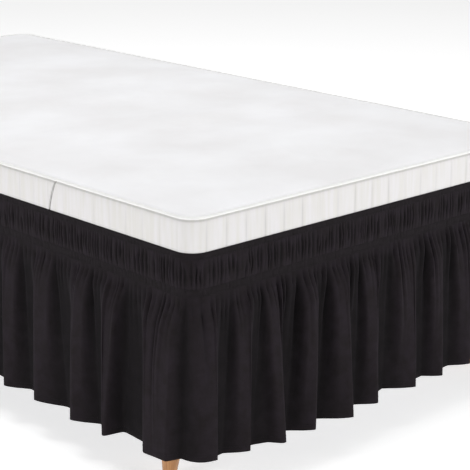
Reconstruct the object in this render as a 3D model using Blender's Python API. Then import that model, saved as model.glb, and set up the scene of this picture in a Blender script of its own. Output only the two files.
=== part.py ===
"""A gathered elastic bed skirt hanging from a bed base with a mattress on top.

Metres, +Z up. The origin is on the floor under the middle of the bed, +Y runs to the head
and -Y to the foot. Everything that goes round the bed is swept along one loop, a rectangle
with rounded corners, which starts at the middle of the corner at -X, -Y and runs along the
foot side first.
"""

import math
import random

import bmesh
import bpy

# the bed
BED_WIDTH = 0.990
BED_LENGTH = 1.900
CORNER_RADIUS = 0.037
CORNER_STEPS = 6
SMALLEST_ARC = 0.001
GAP = 0.0003

# heights above the floor
SKIRT_TOP = 0.480
LEG_HEIGHT = 0.150
BASE_TOP = SKIRT_TOP - 0.015
PIPING_HEIGHT = SKIRT_TOP + 0.065

# the mattress and its piping
MATTRESS_EDGE = PIPING_HEIGHT - 0.0044
MATTRESS_TOP = PIPING_HEIGHT + 0.0070
PIPING_RADIUS = 0.0035
PIPING_OUT = 0.001
PIPING_SIDES = 10

# the skirt, from its top edge down to its hem
SKIRT_DROP = 0.400
TOP_BAND_WIDTH = 0.0140
HEADING_WIDTH = 0.0520
LOWER_BAND_WIDTH = 0.0165
CLOTH = 0.0015
HEADING_BULGE = 0.0035

# how far out the ruffle's cloth hangs, to its outer face
RUFFLE_TOP_OUT = 0.0040
TROUGH_OUT = 0.0045
COLUMN_PITCH = 0.018
CORNER_COLUMN_PITCH = 0.009
FEWEST_COLUMNS = 3
RUFFLE_ROWS = (0.0, 0.16, 0.55, 1.0)
OPENING_POWER = 0.8

# folds at the hem that show: distance along the loop from the corner's middle, how far out
# the hem reaches there, and how high it is above the hem's own level
SHOWN_FOLDS = (
    # run_m, out_m, lift_m
    (-0.600, 0.0080, 0.000),
    (-0.542, 0.0340, 0.000),
    (-0.492, 0.0060, 0.000),
    (-0.433, 0.0335, 0.000),
    (-0.367, 0.0075, 0.000),
    (-0.309, 0.0405, 0.000),
    (-0.256, 0.0110, 0.001),
    (-0.207, 0.0415, 0.000),
    (-0.165, 0.0045, 0.003),
    (-0.077, 0.0340, 0.000),
    (-0.012, 0.0045, 0.003),
    (0.035, 0.0165, 0.000),
    (0.064, 0.0045, 0.002),
    (0.106, 0.0285, 0.000),
    (0.134, 0.0140, 0.000),
    (0.184, 0.0460, 0.000),
    (0.224, 0.0105, 0.000),
    (0.267, 0.0420, 0.000),
    (0.312, 0.0080, 0.000),
    (0.363, 0.0485, 0.000),
    (0.414, 0.0110, 0.001),
    (0.451, 0.0345, 0.000),
    (0.523, 0.0050, 0.008),
    (0.571, 0.0390, 0.004),
    (0.632, 0.0080, 0.006),
    (0.666, 0.0370, 0.005),
    (0.718, 0.0070, 0.007),
    (0.768, 0.0350, 0.006),
)
HIDDEN_PITCH = (0.034, 0.056)
HIDDEN_TROUGH_OUT = (0.0045, 0.0110)
HIDDEN_CREST_OUT = (0.028, 0.045)
HIDDEN_LIFT = (0.0, 0.003)
HIDDEN_SEED = 11

# the leg: its radius at heights from the floor, and how it stands
LEG_PROFILE = (
    # height_m, radius_m
    (0.000, 0.0118),
    (0.002, 0.0128),
    (0.040, 0.0180),
    (0.080, 0.0232),
    (0.120, 0.0280),
    (0.143, 0.0300),
    (LEG_HEIGHT - GAP, 0.0282),
)
LEG_SIDES = 20
WELD = 0.00001
LEG_SPLAY = 0.10
FOOT_FROM_SIDE = 0.043
FOOT_FROM_END = 0.1175

COLOURS = {
    # name: red, green, blue, roughness, metallic
    "black_microfibre": (0.018, 0.015, 0.017, 0.85, 0.0),
    "black_elastic": (0.016, 0.013, 0.015, 0.80, 0.0),
    "white_ticking": (0.84, 0.83, 0.84, 0.90, 0.0),
    "white_piping": (0.90, 0.89, 0.89, 0.85, 0.0),
    "grey_base_cloth": (0.30, 0.30, 0.31, 0.92, 0.0),
    "beech_wood": (0.42, 0.21, 0.075, 0.45, 0.0),
}


def clear_scene():
    for thing in list(bpy.data.objects):
        bpy.data.objects.remove(thing, do_unlink=True)


def make_materials():
    made = {}
    for name, (red, green, blue, roughness, metallic) in COLOURS.items():
        material = bpy.data.materials.new(name)
        material.use_nodes = True
        shader = material.node_tree.nodes["Principled BSDF"]
        shader.inputs["Base Color"].default_value = (red, green, blue, 1.0)
        shader.inputs["Roughness"].default_value = roughness
        shader.inputs["Metallic"].default_value = metallic
        made[name] = material
    return made


def add_object(name, vertices, faces, material, smooth_angle=None):
    """Makes a mesh object from points and faces, with its faces turned outward."""
    mesh = bpy.data.meshes.new(name)
    mesh.from_pydata(vertices, [], faces)
    work = bmesh.new()
    work.from_mesh(mesh)
    bmesh.ops.recalc_face_normals(work, faces=work.faces)
    work.to_mesh(mesh)
    work.free()
    mesh.materials.append(material)
    thing = bpy.data.objects.new(name, mesh)
    bpy.context.scene.collection.objects.link(thing)
    if smooth_angle is not None:
        mesh.shade_smooth()
        mesh.set_sharp_from_angle(angle=math.radians(smooth_angle))
    return thing


# ---- the loop round the bed ----

HALF_WIDTH = BED_WIDTH / 2
HALF_LENGTH = BED_LENGTH / 2
SHORT_RUN = BED_WIDTH - 2 * CORNER_RADIUS
LONG_RUN = BED_LENGTH - 2 * CORNER_RADIUS
CORNER_RUN = CORNER_RADIUS * math.pi / 2
LOOP_LENGTH = 2 * (SHORT_RUN + LONG_RUN) + 4 * CORNER_RUN


def loop_stretches():
    """Yields each straight side and the corner after it: start point, heading, length."""
    corners = (
        (-HALF_WIDTH + CORNER_RADIUS, -HALF_LENGTH, 0.0, SHORT_RUN),
        (HALF_WIDTH, -HALF_LENGTH + CORNER_RADIUS, math.pi / 2, LONG_RUN),
        (HALF_WIDTH - CORNER_RADIUS, HALF_LENGTH, math.pi, SHORT_RUN),
        (-HALF_WIDTH, HALF_LENGTH - CORNER_RADIUS, -math.pi / 2, LONG_RUN),
    )
    start = CORNER_RUN / 2
    for x, y, heading, length in corners:
        yield start, x, y, heading, length
        start += length + CORNER_RUN


def loop_at(run):
    """Point on the loop at this distance, and the unit vector that points outward there."""
    run %= LOOP_LENGTH
    if run < CORNER_RUN / 2:
        run += LOOP_LENGTH
    for start, x, y, heading, length in loop_stretches():
        along = run - start
        if along > length + CORNER_RUN:
            continue
        ahead = (math.cos(heading), math.sin(heading))
        out = (ahead[1], -ahead[0])
        if along <= length:
            return (x + ahead[0] * along, y + ahead[1] * along), out
        turn = (along - length) / CORNER_RADIUS
        middle = (
            x + ahead[0] * length - out[0] * CORNER_RADIUS,
            y + ahead[1] * length - out[1] * CORNER_RADIUS,
        )
        out = (
            out[0] * math.cos(turn) - out[1] * math.sin(turn),
            out[0] * math.sin(turn) + out[1] * math.cos(turn),
        )
        return (middle[0] + out[0] * CORNER_RADIUS, middle[1] + out[1] * CORNER_RADIUS), out
    raise ValueError("distance past the loop's end")


def offset_point(run, out, height):
    (x, y), (out_x, out_y) = loop_at(run)
    return (x + out_x * out, y + out_y * out, height)


def corner_stations():
    """Distances at which the plain loops have a point: the sides' ends and the corners."""
    stations = []
    for start, _, _, _, length in loop_stretches():
        stations.append(start)
        for step in range(CORNER_STEPS):
            stations.append(start + length + CORNER_RUN * step / CORNER_STEPS)
    return stations


def loop_ring(name, profile, material, smooth_angle=None):
    """Sweeps a closed profile of (out, height) points once round the loop."""
    stations = corner_stations()
    count = len(profile)
    vertices = [offset_point(run, out, height) for run in stations for out, height in profile]
    faces = []
    for i in range(len(stations)):
        here = i * count
        there = (i + 1) % len(stations) * count
        for j in range(count):
            k = (j + 1) % count
            faces.append((here + j, there + j, there + k, here + k))
    return add_object(name, vertices, faces, material, smooth_angle)


def loop_block(name, levels, material, smooth_angle=None):
    """Stacks loops of (out, height) and closes the lowest and the highest with a flat face."""
    stations = corner_stations()
    count = len(stations)
    vertices = [offset_point(run, out, height) for out, height in levels for run in stations]
    faces = [tuple(range(count)), tuple(range((len(levels) - 1) * count, len(levels) * count))]
    for level in range(len(levels) - 1):
        for i in range(count):
            k = (i + 1) % count
            low = level * count
            high = low + count
            faces.append((low + i, low + k, high + k, high + i))
    return add_object(name, vertices, faces, material, smooth_angle)


# ---- the skirt ----

TOP_BAND_FOOT = SKIRT_TOP - TOP_BAND_WIDTH
HEADING_TOP = TOP_BAND_FOOT - GAP
HEADING_FOOT = HEADING_TOP - HEADING_WIDTH
LOWER_BAND_TOP = HEADING_FOOT - GAP
LOWER_BAND_FOOT = LOWER_BAND_TOP - LOWER_BAND_WIDTH
RUFFLE_TOP = LOWER_BAND_FOOT - GAP
HEM = SKIRT_TOP - SKIRT_DROP


def band(name, top, foot, material):
    """A flat elastic band that hugs the bed."""
    profile = (
        (GAP, foot),
        (GAP + CLOTH, foot),
        (GAP + CLOTH, top),
        (GAP, top),
    )
    return loop_ring(name, profile, material)


def shirred_heading(material):
    """The gathered strip, bulging out between the two bands that draw it in."""
    levels = 6
    inner = []
    outer = []
    for i in range(levels + 1):
        share = i / levels
        height = HEADING_FOOT + (HEADING_TOP - HEADING_FOOT) * share
        bulge = HEADING_BULGE * math.sin(math.pi * share)
        inner.append((GAP + bulge, height))
        outer.append((GAP + CLOTH + bulge, height))
    return loop_ring("heading", inner[::-1] + outer, material, smooth_angle=50)


def hidden_folds():
    """Folds for the rest of the loop, alternating crest and trough, back to the first one."""
    dice = random.Random(HIDDEN_SEED)
    start = SHOWN_FOLDS[-1][0]
    space = LOOP_LENGTH + SHOWN_FOLDS[0][0] - start
    bends = 2 * round(space / (HIDDEN_PITCH[0] + HIDDEN_PITCH[1])) + 1
    pitches = [dice.uniform(*HIDDEN_PITCH) for _ in range(bends)]
    scale = space / sum(pitches)
    folds = []
    run = start
    for i in range(bends - 1):
        run += pitches[i] * scale
        reach = HIDDEN_TROUGH_OUT if i % 2 == 0 else HIDDEN_CREST_OUT
        folds.append((run, dice.uniform(*reach), dice.uniform(*HIDDEN_LIFT)))
    return folds


def all_folds():
    """Every crest and trough round the loop; the last one closes it on the first."""
    folds = list(SHOWN_FOLDS) + hidden_folds()
    first = SHOWN_FOLDS[0]
    folds.append((first[0] + LOOP_LENGTH, first[1], first[2]))
    return folds


def turns_corner(run_a, run_b):
    """True where a corner's arc lies between the two distances, or touches them."""
    for start, _, _, _, length in loop_stretches():
        arc_start = start + length
        for turn in (-LOOP_LENGTH, 0.0):
            if run_a < arc_start + turn + CORNER_RUN and run_b > arc_start + turn:
                return True
    return False


def ruffle_columns():
    """Columns of the ruffle: distance, reach at the hem, lift of the hem."""
    columns = []
    folds = all_folds()
    for (run_a, out_a, lift_a), (run_b, out_b, lift_b) in zip(folds, folds[1:]):
        pitch = CORNER_COLUMN_PITCH if turns_corner(run_a, run_b) else COLUMN_PITCH
        steps = max(FEWEST_COLUMNS, math.ceil((run_b - run_a) / pitch))
        for i in range(steps):
            share = i / steps
            ease = (1 - math.cos(math.pi * share)) / 2
            columns.append((
                run_a + (run_b - run_a) * share,
                out_a + (out_b - out_a) * ease,
                lift_a + (lift_b - lift_a) * ease,
            ))
    return columns


def inward_points(points):
    """The same closed line of points, moved inward by the cloth's thickness."""
    moved = []
    count = len(points)
    for i, (x, y, z) in enumerate(points):
        before = points[i - 1]
        after = points[(i + 1) % count]
        along_x = after[0] - before[0]
        along_y = after[1] - before[1]
        length = math.hypot(along_x, along_y)
        moved.append((x - along_y / length * CLOTH, y + along_x / length * CLOTH, z))
    return moved


def gathered_ruffle(material):
    """One sheet round the bed whose folds open out from the band down to the hem."""
    columns = ruffle_columns()
    count = len(columns)
    vertices = []
    for share in RUFFLE_ROWS:
        opening = math.sin(math.pi / 2 * share) ** OPENING_POWER
        outer = []
        for run, hem_out, lift in columns:
            out = RUFFLE_TOP_OUT + (max(hem_out, TROUGH_OUT) - RUFFLE_TOP_OUT) * opening
            height = RUFFLE_TOP + (HEM + lift - RUFFLE_TOP) * share
            outer.append(offset_point(run, out, height))
        vertices += outer
        vertices += inward_points(outer)
    faces = []
    rows = len(RUFFLE_ROWS)
    for row in range(rows - 1):
        upper = 2 * row * count
        lower = upper + 2 * count
        for i in range(count):
            k = (i + 1) % count
            faces.append((upper + i, upper + k, lower + k, lower + i))
            faces.append((upper + count + i, lower + count + i, lower + count + k, upper + count + k))
    last = 2 * (rows - 1) * count
    for i in range(count):
        k = (i + 1) % count
        faces.append((i, count + i, count + k, k))
        faces.append((last + i, last + k, last + count + k, last + count + i))
    ruffle = add_object("ruffle", vertices, faces, material, smooth_angle=60)
    triangulate(ruffle)
    return ruffle


def triangulate(thing):
    """Splits the bent faces so that each is flat."""
    work = bmesh.new()
    work.from_mesh(thing.data)
    bmesh.ops.triangulate(work, faces=work.faces)
    work.to_mesh(thing.data)
    work.free()


# ---- the bed ----

def mattress(material):
    """A flat pad whose top edge is cut back for the piping and whose top swells a little."""
    levels = (
        (-0.0030, BASE_TOP),
        (0.0, BASE_TOP + 0.0030),
        (0.0, MATTRESS_EDGE),
        (-0.0060, MATTRESS_EDGE + 0.0060),
        (-0.0250, MATTRESS_TOP - 0.0030),
        (-0.0600, MATTRESS_TOP - 0.0010),
        (-0.1100, MATTRESS_TOP),
    )
    return loop_block("mattress", inset_levels(levels), material, smooth_angle=40)


def inset_levels(levels):
    """Levels as they are, apart from those so far in that the corner's arc would turn over."""
    return [(max(out, SMALLEST_ARC - CORNER_RADIUS), height) for out, height in levels]


def piping(material):
    profile = []
    for i in range(PIPING_SIDES):
        angle = 2 * math.pi * i / PIPING_SIDES
        out = PIPING_OUT + PIPING_RADIUS * math.cos(angle)
        height = PIPING_HEIGHT + PIPING_RADIUS * math.sin(angle)
        profile.append((out, height))
    return loop_ring("mattress_piping", profile, material, smooth_angle=60)


def base(material):
    levels = (
        (-0.0040, LEG_HEIGHT),
        (0.0, LEG_HEIGHT + 0.0040),
        (0.0, BASE_TOP - GAP),
    )
    return loop_block("bed_base", levels, material)


def turned_leg(name, x, y, lean, material):
    """A tapered leg, thick at the base and narrow at the floor, leaning in as it rises."""
    work = bmesh.new()
    points = [(0.0, LEG_PROFILE[0][0])]
    points += [(radius, height) for height, radius in LEG_PROFILE]
    points.append((0.0, LEG_PROFILE[-1][0]))
    line = [work.verts.new((radius, 0.0, height)) for radius, height in points]
    edges = [work.edges.new(pair) for pair in zip(line, line[1:])]
    bmesh.ops.spin(
        work,
        geom=line + edges,
        cent=(0.0, 0.0, 0.0),
        axis=(0.0, 0.0, 1.0),
        angle=2 * math.pi,
        steps=LEG_SIDES,
        use_merge=True,
    )
    bmesh.ops.remove_doubles(work, verts=work.verts, dist=WELD)
    for point in work.verts:
        point.co.x += lean * point.co.z
    bmesh.ops.recalc_face_normals(work, faces=work.faces)
    mesh = bpy.data.meshes.new(name)
    work.to_mesh(mesh)
    work.free()
    mesh.materials.append(material)
    mesh.shade_smooth()
    mesh.set_sharp_from_angle(angle=math.radians(40))
    leg = bpy.data.objects.new(name, mesh)
    leg.location = (x, y, 0.0)
    bpy.context.scene.collection.objects.link(leg)
    return leg


def main():
    clear_scene()
    materials = make_materials()
    band("top_band", SKIRT_TOP, TOP_BAND_FOOT, materials["black_elastic"])
    shirred_heading(materials["black_microfibre"])
    band("lower_band", LOWER_BAND_TOP, LOWER_BAND_FOOT, materials["black_elastic"])
    gathered_ruffle(materials["black_microfibre"])
    mattress(materials["white_ticking"])
    piping(materials["white_piping"])
    base(materials["grey_base_cloth"])
    foot_x = HALF_WIDTH - FOOT_FROM_SIDE
    foot_y = HALF_LENGTH - FOOT_FROM_END
    for end, y in (("foot", -foot_y), ("head", foot_y)):
        for side, away in (("left", -1), ("right", 1)):
            name = f"leg_{end}_{side}"
            turned_leg(name, away * foot_x, y, -away * LEG_SPLAY, materials["beech_wood"])


main()
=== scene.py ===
import math
import random
from functools import partial

import bmesh
import bpy
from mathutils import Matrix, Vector, noise


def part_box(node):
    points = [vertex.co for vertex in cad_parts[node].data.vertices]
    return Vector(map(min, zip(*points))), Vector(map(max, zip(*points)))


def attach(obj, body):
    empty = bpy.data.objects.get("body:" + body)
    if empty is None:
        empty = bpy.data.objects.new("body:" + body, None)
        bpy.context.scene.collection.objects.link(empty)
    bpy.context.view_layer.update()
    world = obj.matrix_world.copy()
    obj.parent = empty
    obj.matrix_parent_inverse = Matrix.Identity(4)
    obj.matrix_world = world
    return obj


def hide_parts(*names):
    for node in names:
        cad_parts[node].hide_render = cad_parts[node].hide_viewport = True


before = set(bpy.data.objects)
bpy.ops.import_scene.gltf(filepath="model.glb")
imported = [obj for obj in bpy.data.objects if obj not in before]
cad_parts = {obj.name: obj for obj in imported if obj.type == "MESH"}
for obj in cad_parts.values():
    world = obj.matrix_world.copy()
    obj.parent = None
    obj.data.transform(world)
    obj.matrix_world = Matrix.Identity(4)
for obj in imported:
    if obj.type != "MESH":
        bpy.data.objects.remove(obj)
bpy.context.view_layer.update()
scene = bpy.context.scene

# the bed that everything follows: a rectangle with rounded corners, seen from above
bed = {
    "width": 0.990,
    "length": 1.900,
    "cornerRadius": 0.037,
    "cornerPoints": 16,       # points on each corner's arc
}
straightAcross = bed["width"] - 2 * bed["cornerRadius"]
straightAlong = bed["length"] - 2 * bed["cornerRadius"]
cornerRun = bed["cornerRadius"] * math.pi / 2
loopLength = 2 * (straightAcross + straightAlong) + 4 * cornerRun


def heights(node):
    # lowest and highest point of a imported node
    low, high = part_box(node)
    return low[2], high[2]


baseFoot, baseTop = heights("bed_base")
mattressTop = heights("mattress")[1]
pipingFoot, pipingTop = heights("mattress_piping")
topBandFoot, skirtTop = heights("top_band")
headingFoot, headingTop = heights("heading")
lowerBandFoot, lowerBandTop = heights("lower_band")
hemHeight, ruffleTop = heights("ruffle")


def srgb(code):
    # a hex colour as seen on screen, turned to the linear values that shaders take
    channels = [int(code[i:i + 2], 16) / 255 for i in (1, 3, 5)]
    linear = [c / 12.92 if c <= 0.04045 else ((c + 0.055) / 1.055) ** 2.4 for c in channels]
    return (*linear, 1.0)


def addNode(tree, kind, *inputs, **settings):
    # adds one node, sets its options and fills its inputs; each is a value, node or socket
    # for the next input in order, or a dictionary of them by input name or number
    node = tree.nodes.new(kind)
    for name, value in settings.items():
        setattr(node, name, value)
    sources = {}
    for place, value in enumerate(inputs):
        sources.update(value if isinstance(value, dict) else {place: value})
    for key, source in sources.items():
        if isinstance(source, bpy.types.Node):
            source = source.outputs[0]
        if isinstance(source, bpy.types.NodeSocket):
            tree.links.new(source, node.inputs[key])
        else:
            node.inputs[key].default_value = source
    return node


def newTree(name, inputs, outputs):
    # an empty geometry tree with named inputs and outputs: a word is a socket's kind, and a
    # number is its usual value
    tree = bpy.data.node_groups.new(name, "GeometryNodeTree")
    kinds = {int: "Int", float: "Float"}
    for label, value in inputs.items():
        kind = kinds.get(type(value), value)
        socket = tree.interface.new_socket(label, in_out="INPUT", socket_type="NodeSocket" + kind)
        if kind != value:
            socket.default_value = value
    for label, kind in outputs.items():
        tree.interface.new_socket(label, in_out="OUTPUT", socket_type="NodeSocket" + kind)
    given = tree.nodes.new("NodeGroupInput").outputs
    result = tree.nodes.new("NodeGroupOutput").inputs
    return tree, given, result


def finishTree(tree, geometry, material, result):
    # every tree ends the same way: shaded smooth, real geometry, one material
    soft = addNode(tree, "GeometryNodeSetShadeSmooth", geometry)
    real = addNode(tree, "GeometryNodeRealizeInstances", soft)
    dressed = addNode(tree, "GeometryNodeSetMaterial", real, {"Material": material})
    tree.links.new(dressed.outputs[0], result["Geometry"])


def placeMesh(name, mesh):
    piece = bpy.data.objects.new(name, mesh)
    scene.collection.objects.link(piece)
    return piece


def keepResult(piece, modifier):
    # keeps what a modifier makes as the piece's own plain mesh
    depsgraph = bpy.context.evaluated_depsgraph_get()
    mesh = bpy.data.meshes.new_from_object(
        piece.evaluated_get(depsgraph), preserve_all_data_layers=True, depsgraph=depsgraph)
    piece.modifiers.remove(modifier)
    mesh.name = piece.name
    piece.data = mesh


def growPiece(name, mesh, tree, values):
    # runs a tree on a mesh, with these values for its named inputs
    piece = placeMesh(name, mesh)
    modifier = piece.modifiers.new("rule", "NODES")
    modifier.node_group = tree
    for item in tree.interface.items_tree:
        if item.item_type == "SOCKET" and item.in_out == "INPUT" and item.name in values:
            modifier[item.identifier] = values[item.name]
    keepResult(piece, modifier)
    return piece


def turnOutward(piece):
    # flips a round-the-bed strip whose faces look at the bed
    mesh = piece.data
    facing = sum(face.normal.dot(Vector((face.center.x, face.center.y, 0))) * face.area
                 for face in mesh.polygons)
    if facing < 0:
        mesh.flip_normals()


def giveThickness(piece, thickness):
    # cloth's own thickness, grown inward from its outer face, with a crisp cut edge
    solidify = piece.modifiers.new("thickness", "SOLIDIFY")
    solidify.thickness = thickness
    solidify.offset = -1
    keepResult(piece, solidify)
    piece.data.set_sharp_from_angle(angle=math.radians(70))


def joinRings(work, rings):
    # a wall of faces from ring to ring of points, with a lid at each end
    count = len(rings[0])
    for lower, upper in zip(rings, rings[1:]):
        for i in range(count):
            k = (i + 1) % count
            work.faces.new((lower[i], lower[k], upper[k], upper[i]))
    work.faces.new(list(reversed(rings[0])))
    work.faces.new(rings[-1])


def finishSolid(name, work, materials, crispFrom=None):
    # a closed solid facing outward, shaded smooth but for edges that bend this many degrees
    bmesh.ops.recalc_face_normals(work, faces=work.faces)
    mesh = bpy.data.meshes.new(name)
    work.to_mesh(mesh)
    work.free()
    for material in materials:
        mesh.materials.append(material)
    mesh.shade_smooth()
    if crispFrom:
        mesh.set_sharp_from_angle(angle=math.radians(crispFrom))
    return placeMesh(name, mesh)


def loopAt(run):
    # point and outward direction at a distance from the middle of the near corner,
    # along the foot side first
    run = (run - cornerRun / 2) % loopLength
    radius = bed["cornerRadius"]
    sides = (
        (-1, -1, 0.0, straightAcross),
        (1, -1, math.pi / 2, straightAlong),
        (1, 1, math.pi, straightAcross),
        (-1, 1, 1.5 * math.pi, straightAlong),
    )
    for sideX, sideY, heading, length in sides:
        arcMiddle = Vector((sideX * straightAcross / 2, sideY * straightAlong / 2, 0))
        ahead = Vector((math.cos(heading), math.sin(heading), 0))
        outward = Vector((ahead.y, -ahead.x, 0))
        if run <= length:
            return arcMiddle + outward * radius + ahead * run, outward
        if run <= length + cornerRun:
            turn = heading + (run - length) / radius
            outward = Vector((math.sin(turn), -math.cos(turn), 0))
            return arcMiddle + ahead * length + outward * radius, outward
        run -= length + cornerRun
    return loopAt(0.0)


def closedLine(count, first=0):
    # edges that join points one after the other and back to the first
    return [(first + i, first + (i + 1) % count) for i in range(count)]


def bedRailTree():
    # gives the point and directions on the bed's loop at any distance along it
    tree, given, result = newTree("bedRail", {
        "Width": bed["width"], "Length": bed["length"], "Corner radius": bed["cornerRadius"],
        "Corner points": bed["cornerPoints"], "Run": 0.0,
    }, {"Point": "Vector", "Outward": "Vector"})
    add = partial(addNode, tree)
    sharp = add("GeometryNodeCurvePrimitiveQuadrilateral", {
        "Width": given["Width"], "Height": given["Length"]}, mode="RECTANGLE")
    rail = add("GeometryNodeFilletCurve", {
        "Curve": sharp, "Count": given["Corner points"],
        "Radius": given["Corner radius"]}, mode="POLY")
    whole = add("GeometryNodeCurveLength", rail)
    # the rail starts at the far right corner, 2.5 arcs and two sides before the near left one
    lead = cornerRun * 2.5 + straightAcross + straightAlong
    run = add("ShaderNodeMath", given["Run"], lead, operation="ADD")
    run = add("ShaderNodeMath", run, whole, operation="FLOORED_MODULO")
    spot = add("GeometryNodeSampleCurve", {"Curves": rail, "Length": run}, mode="LENGTH")
    side = add("ShaderNodeVectorMath", spot.outputs["Tangent"], (0, 0, 1),
               operation="CROSS_PRODUCT")
    side = add("ShaderNodeVectorMath", side, operation="NORMALIZE")
    tree.links.new(spot.outputs["Position"], result["Point"])
    tree.links.new(side.outputs[0], result["Outward"])
    return tree


bedRail = bedRailTree()
print("bed rail ready,", round(loopLength, 3), "m round")

# the cloth of one gather rises from a dark slit, over a broad ridge, and into the next slit
gatherPhases = (0.0, 0.13, 0.36, 0.64, 0.87)     # where its lines of points stand, slit to slit

ruffle = {
    "tuck": 0.004,                 # how far its top goes up behind the lower band
    "tuckedReach": 0.0017,
    "rows": 22,
    "rowCrowding": 1.65,           # above 1 crowds the rows to the top, where the gathers are
    "leastReach": 0.0024,
    "ripple": 0.0030,              # slow unevenness at the hem
    "thickness": 0.0011,
    "pitch": (0.0098, 0.0172),     # metres from slit to slit
    "slitDepth": (0.0014, 0.0042),
    "slitFade": (0.06, 0.24),      # share of the drop over which a slit dies out
    "ridgeHeight": (0.0006, 0.0026),
    "ridgeFade": (0.06, 0.22),
    "troughSlit": (0.0070, 0.42),  # depth and fade of the slit that opens into a big trough
    "shownRidgeBoost": 1.45,       # how much higher the ridges that show stand than listed
    "longRidge": (0.0030, 0.30),   # height and fade of the few ridges that run far down
    "longRidgeShare": 0.4,
    "longRidgeSpread": (0.7, 1.5),
    "slitSnap": 0.006,             # how near a gather stands to move to a slit that shows
    "ridgeSnap": 0.0075,           # and to become a ridge that shows
    "seed": 23,
}

# the folds that show, a trough and the crest after it on each line: where each stands at the
# hem, how far out and how far up the hem is there, where it starts under the band, and how
# fast it opens (less is sooner)
shownFolds = (
    (-0.600, 0.0080, 0.000, -0.604, 0.52), (-0.545, 0.0346, 0.000, -0.552, 0.52),
    (-0.489, 0.0055, 0.000, -0.506, 0.52), (-0.439, 0.0342, 0.000, -0.446, 0.50),
    (-0.363, 0.0070, 0.000, -0.392, 0.50), (-0.309, 0.0415, 0.000, -0.314, 0.55),
    (-0.252, 0.0115, 0.000, -0.272, 0.50), (-0.207, 0.0425, 0.000, -0.220, 0.50),
    (-0.180, 0.0045, 0.003, -0.166, 0.45), (-0.089, 0.0345, 0.000, -0.098, 0.45),
    (-0.018, 0.0045, 0.002, -0.010, 0.45), (0.037, 0.0182, 0.000, 0.039, 0.40),
    (0.062, 0.0045, 0.001, 0.085, 0.45), (0.110, 0.0298, 0.000, 0.120, 0.45),
    (0.130, 0.0125, 0.000, 0.160, 0.50), (0.186, 0.0480, 0.000, 0.190, 0.80),
    (0.223, 0.0080, 0.000, 0.256, 0.50), (0.270, 0.0438, 0.000, 0.290, 0.35),
    (0.306, 0.0065, 0.000, 0.338, 0.45), (0.368, 0.0512, 0.000, 0.369, 0.57),
    (0.415, 0.0090, 0.000, 0.428, 0.50), (0.456, 0.0358, 0.000, 0.468, 0.70),
    (0.503, 0.0050, 0.009, 0.516, 0.50), (0.570, 0.0375, 0.004, 0.579, 0.72),
    (0.621, 0.0083, 0.006, 0.620, 0.50), (0.657, 0.0352, 0.005, 0.659, 0.45),
    (0.708, 0.0076, 0.006, 0.702, 0.50), (0.752, 0.0322, 0.006, 0.756, 0.55),
)
# how a fold falls from crest to trough: where the fall starts and ends under the band, the
# same at the hem, how far down it gets there, and how nearly flat the slope is at the hem
flankShapes = {
    "near": ((0.80, 1.00), (0.40, 0.90), 1.00, 0.85),
    "shelf": ((0.80, 1.00), (0.08, 0.50), 1.00, 0.45),
    "wall": ((0.80, 1.00), (0.15, 0.75), 1.00, 0.05),
    "plateau": ((0.80, 1.00), (0.79, 0.96), 1.00, 0.05),
    "far": ((0.10, 0.62), (0.03, 0.42), 0.30, 0.02),
    "hidden": ((0.60, 1.00), (0.22, 0.80), 0.60, 0.60),
}
# the folds that fall to the near corner in their own way, by where their crest is at the hem
ownFlanks = {-0.207: "wall", -0.089: "plateau", 0.186: "shelf"}
hiddenFolds = {
    "pitch": (0.034, 0.056),
    "troughReach": (0.0045, 0.0110),
    "crestReach": (0.028, 0.045),
    "lift": (0.0, 0.003),
    "drift": 0.010,                # how far along a fold starts from where it ends
    "opening": (0.38, 0.75),
    "seed": 11,
}

# slits and ridges that stand out under the band: where, how deep or high, how far they run
shownSlits = (
    (-0.458, 0.0035, 0.30), (-0.427, 0.0030, 0.12), (-0.323, 0.0030, 0.18),
    (-0.222, 0.0032, 0.14), (-0.200, 0.0034, 0.16), (-0.142, 0.0036, 0.22),
    (-0.114, 0.0040, 0.20), (-0.066, 0.0095, 0.48), (-0.010, 0.0075, 0.55),
    (0.016, 0.0060, 0.40), (0.063, 0.0036, 0.16), (0.107, 0.0030, 0.24),
    (0.126, 0.0036, 0.26), (0.202, 0.0040, 0.34), (0.223, 0.0045, 0.26),
    (0.310, 0.0030, 0.20), (0.401, 0.0040, 0.34), (0.446, 0.0030, 0.30),
    (0.473, 0.0050, 0.34), (0.542, 0.0044, 0.34), (0.590, 0.0036, 0.22),
    (0.636, 0.0036, 0.20), (0.675, 0.0032, 0.24), (0.732, 0.0036, 0.22),
)
shownRidges = (
    (-0.187, 0.0036, 0.34), (-0.105, 0.0036, 0.50), (-0.055, 0.0030, 0.45),
    (0.045, 0.0026, 0.45), (0.212, 0.0040, 0.42), (0.236, 0.0036, 0.34),
    (0.272, 0.0034, 0.34), (0.326, 0.0036, 0.34), (0.386, 0.0034, 0.45),
    (0.412, 0.0034, 0.34), (0.484, 0.0040, 0.48), (0.531, 0.0042, 0.55),
    (0.551, 0.0034, 0.30), (0.611, 0.0040, 0.34), (0.627, 0.0036, 0.36),
    (0.646, 0.0036, 0.42), (0.693, 0.0038, 0.38), (0.714, 0.0038, 0.34),
    (0.744, 0.0038, 0.42),
)


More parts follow.
